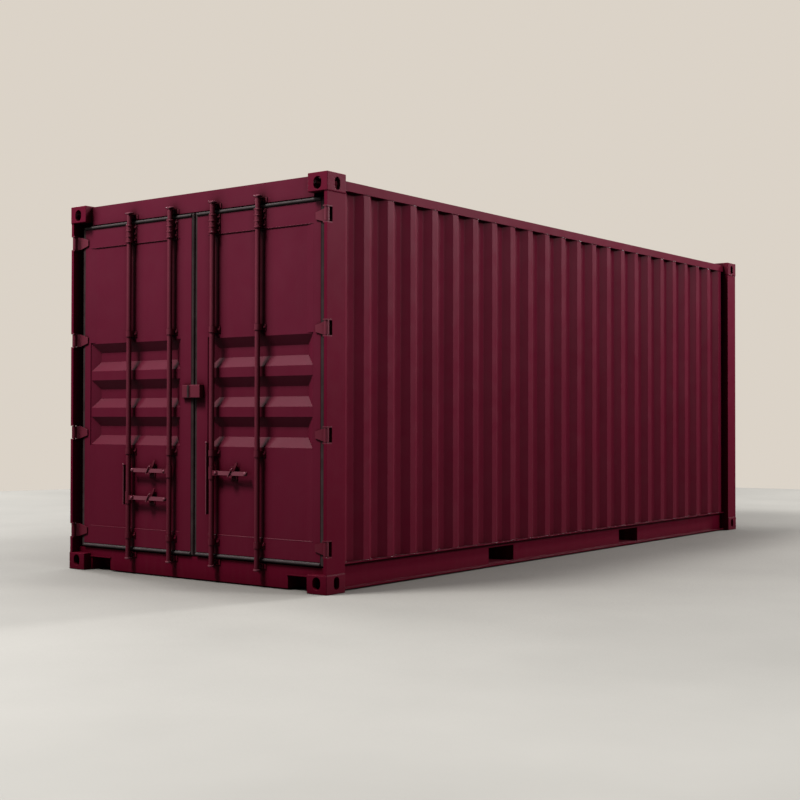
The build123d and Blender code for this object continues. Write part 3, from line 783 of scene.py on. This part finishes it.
@dataclass
class Shell:
    """Corrugated walls, the ribbed roof and the seams that hold the walls."""

    body: str = "box"
    walls: tuple[str, ...] = ("right_wall", "left_wall", "front_wall")
    tops: tuple[str, ...] = ("roof", "roof_corner_plates")
    pitch: float = 0.243
    slope: float = 0.060
    crest: float = 0.0615
    depth: float = 0.036
    margin: float = 0.052
    bead: float = 0.003
    proud: float = 0.0005
    lap: float = 0.001

    def dress(self, palette: Palette) -> None:
        """Gives the sheets their enamel."""
        palette.dress(self.walls, Coat.SHEET)
        palette.dress(self.tops, Coat.TOP)

    def wave(self, span: float) -> list[tuple[float, float]]:
        """The side wall's outer line.

        Args:
            span: The wall's length.

        Returns:
            Pairs of place along the wall and depth behind its face.
        """
        first = -span / 2 + self.margin
        count = math.ceil((span - self.margin) / self.pitch)
        trough = self.pitch - 2 * self.slope - self.crest
        points = [(-span / 2, 0.0)]
        for index in range(count):
            start = first + index * self.pitch
            points.append((start, 0.0))
            points.append((start + self.slope, self.depth))
            points.append((start + self.slope + trough, self.depth))
            points.append((start + 2 * self.slope + trough, 0.0))
        kept = [point for point in points if point[0] < span / 2]
        return [*kept, (span / 2, kept[-1][1])]

    def build(self, palette: Palette) -> None:
        """Adds the seams between the side walls and the rails.

        Args:
            palette: The container's finishes.
        """
        low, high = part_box("right_wall")
        line = self.wave(high[1] - low[1])
        face = high[0] + self.proud
        for side in Side:
            forge = Forge()
            for z in (low[2] + self.lap, high[2] - self.lap):
                path = [Vector((side.value * (face - inward), along, z)) for along, inward in line]
                forge.bead(path, self.bead)
            forge.piece(f"{side.word}_wall_seams", self.body, Coat.SHEET, palette)


@dataclass
class Underframe:
    """Floor boards with their screws, cross-members and fork pockets."""

    body: str = "box"
    steel: tuple[str, ...] = ("cross_members", "fork_pocket_cheeks", "fork_pocket_plates")
    row_step: float = 0.294
    column_step: float = 0.235
    edge_gap: float = 0.03
    flange_half: float = 0.022
    screw: Profile = ((0.0075, -0.001), (0.0075, 0.0004), (0.006, 0.0008))
    screw_sides: int = 8

    def dress(self, palette: Palette) -> None:
        """Gives the boards their varnish and the steel its enamel."""
        palette.dress(("floor",), Coat.PLYWOOD)
        palette.dress(self.steel, Coat.UNDERSIDE)

    def build(self, palette: Palette) -> None:
        """Adds the screws that hold the boards to the cross-members.

        Args:
            palette: The container's finishes.
        """
        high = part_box("floor")[1]
        first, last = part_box("cross_members")
        rows = spaced(first[1] + self.flange_half, last[1] - self.flange_half, self.row_step)
        upward = Vector((0, 0, 1))
        forge = Forge()
        for y in rows:
            for x in spaced(self.edge_gap, high[0] - self.edge_gap, self.column_step):
                for side in Side:
                    seat = Vector((side.value * x, y, high[2]))
                    forge.turned(seat, upward, self.screw, self.screw_sides)
        forge.piece("floor_screws", self.body, Coat.SCREW, palette)


@dataclass
class Door:
    """One door leaf with its seal, hinges, guides and catches."""

    side: Side
    strip_wide: float = 0.013
    strip_thick: float = 0.003
    rivet_step: float = 0.15
    rivet_margin: float = 0.06
    rivet_radius: float = 0.0035
    bolt_radius: float = 0.008
    bolt_margin: float = 0.02
    bolt_step: float = 0.044
    low_guide: float = 0.27
    guides: tuple[float, ...] = (0.85, 1.66)
    rods: tuple[float, ...] = (0.203, 0.614)
    bolt_from_rod: float = 0.032
    foot_thick: float = 0.006
    bulb: float = 0.011
    bulb_step: float = 0.06
    bulb_sides: int = 14
    weld: float = 0.005
    weld_step: float = 0.012
    weld_ripple: float = 0.15
    sunk: float = 0.001
    fillet_wide: float = 0.07
    pressed: Span = (0.885, 1.612)
    sleeve_tall: float = 0.127
    sleeve_radius: float = 0.0209
    ring_wall: float = 0.002
    ring_radius: float = 0.0255
    ring_half: float = 0.007
    ring_bevel: float = 0.6
    ring_step: float = 0.036
    ring_flat: float = 0.0214
    ring_sides: int = 24
    strips: dict[Side, Point] = field(
        default_factory=lambda: {
            Side.LEFT: (-0.662, 0.480, 0.755),
            Side.RIGHT: (0.155, 0.446, 0.917),
        }
    )
    strip_reach: float = 0.040
    strip_bead: float = 0.004
    strip_sides: int = 10
    knob: float = 0.008
    knob_proud: float = 0.002
    # painted shade: size and heights of the dark strip in the centre catch's gap
    pad_wide: float = 0.016
    pad_thick: float = 0.001
    pad_deep: float = 0.004
    pad_heights: Span = (1.215, 1.297)

    def node(self, part: str) -> str:
        """The name of one of this door's nodes."""
        return f"{self.side.word}_{part}"

    def nodes(self, *parts: str) -> list[str]:
        """The names of some of this door's nodes."""
        return [self.node(part) for part in parts]

    def dress(self, palette: Palette) -> None:
        """Gives the leaf, its seal and its fittings their finishes.

        Args:
            palette: The container's finishes.
        """
        palette.dress(self.nodes("door_panel", "door_frame"), Coat.LEAF)
        palette.dress(self.nodes("hinge_blades", "rod_guides", "catches"), Coat.HARDWARE)
        palette.dress(self.nodes("door_seal"), Coat.RUBBER)

    def build(self, palette: Palette) -> None:
        """Adds the small pieces of the leaf.

        Args:
            palette: The container's finishes.
        """
        self.build_strips(palette)
        self.build_bulbs(palette)
        self.build_bolts(palette)
        self.build_rings(palette)
        self.build_fillets(palette)
        self.build_edge(palette)
        if self.side is Side.LEFT:
            self.build_pad(palette)

    def build_strips(self, palette: Palette) -> None:
        """Adds the flat strips that hold the seal on the leaf's edge, and their rivets.

        Args:
            palette: The container's finishes.
        """
        low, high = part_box(self.node("door_frame"))
        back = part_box(self.node("door_seal"))[1][1]
        face = back + self.strip_thick
        wide = self.strip_wide
        forge = Forge()
        forge.slab((low[0] - wide, back, high[2]), (high[0] + wide, face, high[2] + wide))
        forge.slab((low[0] - wide, back, low[2] - wide), (high[0] + wide, face, low[2]))
        forge.slab((low[0] - wide, back, low[2]), (low[0], face, high[2]))
        forge.slab((high[0], back, low[2]), (high[0] + wide, face, high[2]))
        inward = Vector((0, 1, 0))
        for x in spaced(low[0], high[0], self.rivet_step):
            for z in (low[2] - wide / 2, high[2] + wide / 2):
                forge.rivet(Vector((x, face, z)), inward, self.rivet_radius)
        for z in spaced(low[2] + self.rivet_margin, high[2] - self.rivet_margin, self.rivet_step):
            for x in (low[0] - wide / 2, high[0] + wide / 2):
                forge.rivet(Vector((x, face, z)), inward, self.rivet_radius)
        forge.piece(self.node("seal_strips"), self.side.door, Coat.HARDWARE, palette)

    def build_bulbs(self, palette: Palette) -> None:
        """Adds the round bulbs of the seal, over and under the leaf.

        Args:
            palette: The container's finishes.
        """
        low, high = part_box(self.node("door_frame"))
        seal_low, seal_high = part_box(self.node("door_seal"))
        forge = Forge()
        for z in ((low[2] + seal_low[2]) / 2, (high[2] + seal_high[2]) / 2):
            start, end = (low[0], seal_low[1], z), (high[0], seal_low[1], z)
            forge.run(start, end, self.bulb_step, self.bulb, sides=self.bulb_sides)
        forge.piece(self.node("seal_bulbs"), self.side.door, Coat.BULB, palette)

    def build_bolts(self, palette: Palette) -> None:
        """Adds the bolts on the feet of the rod guides and of the top sleeves.

        Args:
            palette: The container's finishes.
        """
        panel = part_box(self.node("door_panel"))[0][1]
        frame_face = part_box(self.node("door_frame"))[0][1]
        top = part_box(self.node("rod_guides"))[1][2]
        bottom = top - self.sleeve_tall
        sleeve = spaced(bottom + self.bolt_margin, top - self.bolt_margin, self.bolt_step)
        seats = [(self.low_guide, frame_face)]
        seats += [(z, panel) for z in self.guides]
        seats += [(z, frame_face) for z in sleeve]
        outward = Vector((0, -1, 0))
        forge = Forge()
        for rod in self.rods:
            for z, face in seats:
                for turn in (-1, 1):
                    x = self.side.value * rod + turn * self.bolt_from_rod
                    forge.bolt(Vector((x, face - self.foot_thick, z)), outward, self.bolt_radius)
        forge.piece(self.node("guide_bolts"), self.side.door, Coat.HARDWARE, palette)

    def build_rings(self, palette: Palette) -> None:
        """Adds the knuckle rings round the top sleeves.

        Args:
            palette: The container's finishes.
        """
        low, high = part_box(self.node("rod_guides"))
        axis_y = low[1] + self.sleeve_radius
        inner, outer = self.sleeve_radius - self.ring_wall, self.ring_radius
        half = self.ring_half
        rim = self.ring_bevel * half
        outline = ((inner, -half), (outer, -rim), (outer, rim), (inner, half))
        places = spaced(high[2] - self.sleeve_tall + half, high[2] - half, self.ring_step)
        forge = Forge()
        for rod in self.rods:
            for z in places:
                middle = Vector((self.side.value * rod, axis_y, z))
                forge.ring(middle, outline, self.ring_sides, self.ring_flat)
        forge.piece(self.node("sleeve_rings"), self.side.door, Coat.HARDWARE, palette)

    def build_fillets(self, palette: Palette) -> None:
        """Adds the weld over and under the leaf's panel, and the filler down its upright edges.

        Args:
            palette: The container's finishes.
        """
        low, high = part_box(self.node("door_panel"))
        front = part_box(self.node("door_frame"))[0][1]
        face, root = low[1] - self.sunk, low[1] + self.sunk
        forge = Forge()
        for z in (low[2], high[2]):
            start, end = (low[0], face, z), (high[0], face, z)
            forge.run(start, end, self.weld_step, self.weld, self.weld_ripple)
        for x, inward in ((low[0], self.fillet_wide), (high[0], -self.fillet_wide)):
            section = ((x, front), (x, root), (x + inward, root))
            for bottom, top in ((low[2], self.pressed[0]), (self.pressed[1], high[2])):
                forge.skin([[Vector((*corner, z)) for corner in section] for z in (bottom, top)])
        forge.piece(self.node("panel_welds"), self.side.door, Coat.LEAF, palette)

    def build_edge(self, palette: Palette) -> None:
        """Adds the rolled edge and the knob of the upright strip beside a rod, in the lighter
        enamel of painted highlights.

        Args:
            palette: The container's finishes.
        """
        x, bottom, top = self.strips[self.side]
        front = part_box(self.node("door_panel"))[0][1] - self.strip_reach
        start, end = (x, front, bottom), (x, front, top)
        forge = Forge()
        forge.run(start, end, self.bulb_step, self.strip_bead, sides=self.strip_sides)
        forge.rivet(Vector((x, front - self.knob_proud, top)), Vector((0, -1, 0)), self.knob)
        # painted highlight: the strip's edge and knob wear the lighter enamel
        forge.piece(self.node("strip_edge"), self.side.door, Coat.GRIP, palette)

    def build_pad(self, palette: Palette) -> None:
        """Adds a dark rubber strip between the halves of the centre catch, as painted shade in the
        gap.

        Args:
            palette: The container's finishes.
        """
        low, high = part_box(self.node("catches"))
        bottom, top = self.pad_heights
        outer = (high[0] - self.pad_wide, low[1] - self.pad_thick, bottom)
        forge = Forge()
        # painted shade: a dark strip put in the gap between the catch halves
        forge.slab(outer, (high[0], low[1] + self.pad_deep, top))
        forge.piece(self.node("catch_pad"), self.side.door, Coat.RUBBER, palette)


@dataclass
class LockGear:
    """Lock rods, their handles, the keepers, and the hinges' lugs and pins."""

    rods: tuple[str, ...] = ("left_outer", "left_inner", "right_inner", "right_outer")
    handled: tuple[str, ...] = ("left_outer", "left_inner", "right_inner")
    fixed: tuple[str, ...] = ("keepers", "hinge_lugs", "hinge_pins")
    rod_y: float = -3.007
    cap: Profile = ((0.016, -0.003), (0.026, -0.002), (0.031, 0.0), (0.031, 0.006), (0.024, 0.009))
    foot: Profile = ((0.016, -0.003), (0.023, -0.002), (0.023, 0.006), (0.015, 0.011))
    cap_sides: int = 24
    cap_flat: float = 0.0205
    pin_inset: float = 0.016
    cheek_half: float = 0.012
    pin_head: float = 0.011
    knob: float = 0.013
    loop_share: float = 0.54
    loop_radius: float = 0.0045
    loop_sides: int = 10
    loop: Profile = (
        (-0.014, -0.024),
        (-0.010, -0.012),
        (0.000, 0.004),
        (0.010, 0.022),
        (0.020, 0.030),
        (0.028, 0.028),
    )

    def dress(self, palette: Palette) -> None:
        """Gives every fitting the enamel of the hardware, and the handles the lighter enamel of
        painted highlights.

        Args:
            palette: The container's finishes.
        """
        turning = [f"{rod}_{part}" for rod in self.rods for part in ("rod", "cams")]
        palette.dress((*turning, *self.fixed), Coat.HARDWARE)
        # painted highlight: the handles wear the lighter enamel
        palette.dress([f"{rod}_handle" for rod in self.handled], Coat.GRIP)

    def build(self, palette: Palette) -> None:
        """Adds the small pieces of the rods and the handles.

        Args:
            palette: The container's finishes.
        """
        for rod in self.rods:
            self.build_caps(rod, palette)
        for rod in self.handled:
            self.build_grip(rod, palette)

    def build_caps(self, rod: str, palette: Palette) -> None:
        """Adds the caps on a rod's ends.

        Args:
            rod: The rod's name.
            palette: The container's finishes.
        """
        cams_low, cams_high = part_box(f"{rod}_cams")
        bottom, top = (corner[2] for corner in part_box(f"{rod}_rod"))
        middle = (cams_low[0] + cams_high[0]) / 2
        forge = Forge()
        for z, turn, profile in ((top, 1, self.cap), (bottom, -1, self.foot)):
            seat = Vector((middle, self.rod_y, z))
            forge.turned(seat, Vector((0, 0, turn)), profile, self.cap_sides, self.cap_flat)
        # painted highlight: the caps wear the lighter enamel
        forge.piece(f"{rod}_rod_caps", f"{rod}_rod", Coat.GRIP, palette)

    def build_grip(self, rod: str, palette: Palette) -> None:
        """Adds the heads of the pin that a handle hangs on, the handle's knob and its loop.

        Args:
            rod: The name of the rod that carries the handle.
            palette: The container's finishes.
        """
        rod_low, rod_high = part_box(f"{rod}_rod")
        low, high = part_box(f"{rod}_handle")
        rod_x = (rod_low[0] + rod_high[0]) / 2
        arm = 1 if low[0] + high[0] > rod_low[0] + rod_high[0] else -1
        inner, outer = (low[0], high[0]) if arm > 0 else (high[0], low[0])
        middle_y, middle_z = (low[1] + high[1]) / 2, (low[2] + high[2]) / 2
        heads, grip = Forge(), Forge()
        pin, tip = inner + arm * self.pin_inset, outer - arm * self.knob
        for turn, face in ((-1, low[1]), (1, high[1])):
            outward = Vector((0, turn, 0))
            cheek = middle_y + turn * self.cheek_half
            heads.rivet(Vector((pin, cheek, middle_z)), outward, self.pin_head)
            grip.rivet(Vector((tip, face, middle_z)), outward, self.knob)
        loop_x = rod_x + self.loop_share * (tip - rod_x)
        loop_y = low[1] - self.loop_radius
        path = [Vector((loop_x + across, loop_y, middle_z + rise)) for across, rise in self.loop]
        grip.bead(path, self.loop_radius, sides=self.loop_sides)
        # painted highlight: pin heads, knobs and loop wear the lighter enamel
        heads.piece(f"{rod}_pin_heads", f"{rod}_rod", Coat.GRIP, palette)
        grip.piece(f"{rod}_handle_loop", f"{rod}_handle", Coat.GRIP, palette)


@dataclass(frozen=True)
class Lamp:
    """One square area lamp."""

    name: str
    place: Point
    target: Point
    size: float
    power: float


@dataclass
class Studio:
    """The pale floor, the soft light and the camera."""

    floor_radius: float = 10.5
    floor_sides: int = 256
    floor_roughness: float = 0.8
    floor_gloss: float = 0.3
    floor_clouds: float = 0.6
    floor_dim: float = 0.88
    floor_colour: Colour = (0.425, 0.409, 0.376)
    # painted shade: the colour the floor darkens towards beside the container
    floor_shade: Colour = (0.035, 0.026, 0.018)
    shade_reach: float = 4.6
    floor_bounce: Colour = (0.045, 0.043, 0.042)
    backdrop: Colour = (0.71, 0.65, 0.575)
    sky_colour: Colour = (0.98, 0.97, 1.0)
    sky_light: float = 0.075
    gloss_colour: Colour = (1.0, 0.98, 0.98)
    gloss_light: float = 0.01
    lamps: tuple[Lamp, ...] = (
        Lamp("key_lamp", (-3.2, -10.4, 15.4), (0.0, -3.0, 1.2), 4.0, 3250.0),
        Lamp("door_lamp", (-14.0, -17.0, 15.0), (0.0, -2.5, 1.4), 4.0, 800.0),
        Lamp("left_lamp", (-20.0, 0.5, 12.0), (0.0, 0.0, 1.4), 4.0, 3000.0),
        Lamp("side_lamp", (26.0, 8.0, 14.0), (1.2, 0.0, 1.3), 6.0, 4700.0),
        Lamp("far_lamp", (6.8, 18.0, 11.0), (1.2, 0.0, 1.3), 3.0, 2700.0),
        Lamp("top_lamp", (0.0, 2.0, 14.0), (0.0, 0.0, 2.6), 10.0, 150.0),
    )
    eye: Point = (6.53248, -9.10801, 1.07935)
    azimuth: float = 36.26
    elevation: float = -0.79
    roll: float = 0.07
    focal_pixels: float = 1321.99
    picture_pixels: float = 800.0
    sensor: float = 36.0
    shift_x: float = -0.05

    def build(self) -> None:
        """Sets up the floor, the light and the camera."""
        self.lay_floor()
        self.light_world()
        self.hang_lamps()
        self.set_camera()

    def lay_floor(self) -> None:
        """Lays a round floor of pale concrete, with painted shade near the container."""
        plate = bmesh.new()
        bmesh.ops.create_circle(
            plate, cap_ends=True, segments=self.floor_sides, radius=self.floor_radius
        )
        data = bpy.data.meshes.new("floor_disc")
        plate.to_mesh(data)
        plate.free()
        ground = bpy.data.objects.new("floor_disc", data)
        bpy.context.collection.objects.link(ground)
        concrete = Recipe("pale_concrete", self.floor_roughness, self.floor_gloss)
        cloud = concrete.spread(concrete.noise(self.floor_clouds, 6.0), *CLOUDY)
        darker = tuple(self.floor_dim * part for part in self.floor_colour)
        colour = concrete.blend(cloud, self.floor_colour, darker)
        # painted shade: the floor darkens where the container closes it in, as a contact shadow
        colour = concrete.blend(concrete.openness(self.shade_reach), self.floor_shade, colour)
        rays = concrete.tree.nodes.new("ShaderNodeLightPath")
        seen = concrete.blend(rays.outputs["Is Camera Ray"], self.floor_bounce, colour)
        concrete.feed(seen, concrete.shader.inputs["Base Color"])
        data.materials.append(concrete.material)

    def light_world(self) -> None:
        """Makes an even pale sky that the camera sees as a plain backdrop."""
        world = bpy.data.worlds.new("studio_world")
        bpy.context.scene.world = world
        world.use_nodes = True
        tree = world.node_tree
        tree.nodes.clear()
        out = tree.nodes.new("ShaderNodeOutputWorld")
        rays = tree.nodes.new("ShaderNodeLightPath")
        shown = self.sky(tree, self.sky_colour, self.sky_light)
        for kind, colour, strength in (
            ("Is Glossy Ray", self.gloss_colour, self.gloss_light),
            ("Is Camera Ray", self.backdrop, 1.0),
        ):
            mix = tree.nodes.new("ShaderNodeMixShader")
            tree.links.new(rays.outputs[kind], mix.inputs["Fac"])
            tree.links.new(shown, mix.inputs[1])
            tree.links.new(self.sky(tree, colour, strength), mix.inputs[2])
            shown = mix.outputs["Shader"]
        tree.links.new(shown, out.inputs["Surface"])

    def sky(self, tree: bpy.types.NodeTree, colour: Colour, strength: float) -> Socket:
        """An even sky.

        Args:
            tree: The world's nodes.
            colour: The sky's colour.
            strength: How bright it is.

        Returns:
            The sky's shader socket.
        """
        even = tree.nodes.new("ShaderNodeBackground")
        even.inputs["Color"].default_value = (*colour, 1.0)
        even.inputs["Strength"].default_value = strength
        return even.outputs["Background"]

    def hang_lamps(self) -> None:
        """Hangs the lamps, each facing its target."""
        for lamp in self.lamps:
            light = bpy.data.lights.new(lamp.name, "AREA")
            light.shape = "RECTANGLE"
            light.size = light.size_y = lamp.size
            light.energy = lamp.power
            made = bpy.data.objects.new(lamp.name, light)
            made.location = lamp.place
            made.rotation_mode = "QUATERNION"
            facing = Vector(lamp.target) - Vector(lamp.place)
            made.rotation_quaternion = facing.to_track_quat("-Z", "Y")
            bpy.context.collection.objects.link(made)

    def set_camera(self) -> None:
        """Puts the camera about where the picture was taken from."""
        data = bpy.data.cameras.new("camera")
        data.sensor_width = self.sensor
        data.lens = self.focal_pixels / self.picture_pixels * self.sensor
        data.shift_x = self.shift_x
        turn, rise = math.radians(self.azimuth), math.radians(self.elevation)
        level = math.cos(rise)
        back = Vector((math.sin(turn) * level, -math.cos(turn) * level, math.sin(rise)))
        right = Vector((math.cos(turn), math.sin(turn), 0.0))
        up = back.cross(right)
        basis = Matrix((right, up, back)).transposed()
        tilt = Matrix.Rotation(math.radians(self.roll), 3, "Z")
        camera = bpy.data.objects.new("camera", data)
        camera.matrix_world = Matrix.Translation(self.eye) @ (basis @ tilt).to_4x4()
        bpy.context.collection.objects.link(camera)
        bpy.context.scene.camera = camera


def main() -> None:
    """Dresses the container, adds its small pieces and sets up the studio."""
    logging.basicConfig(level=logging.INFO, format="%(name)s: %(message)s")
    bpy.context.scene.view_settings.view_transform = "Standard"
    palette = Palette()
    parts = [Skeleton(), Shell(), Underframe(), Door(Side.LEFT), Door(Side.RIGHT), LockGear()]
    for part in parts:
        part.dress(palette)
        part.build(palette)
    Studio().build()


if __name__ == "__main__":
    main()
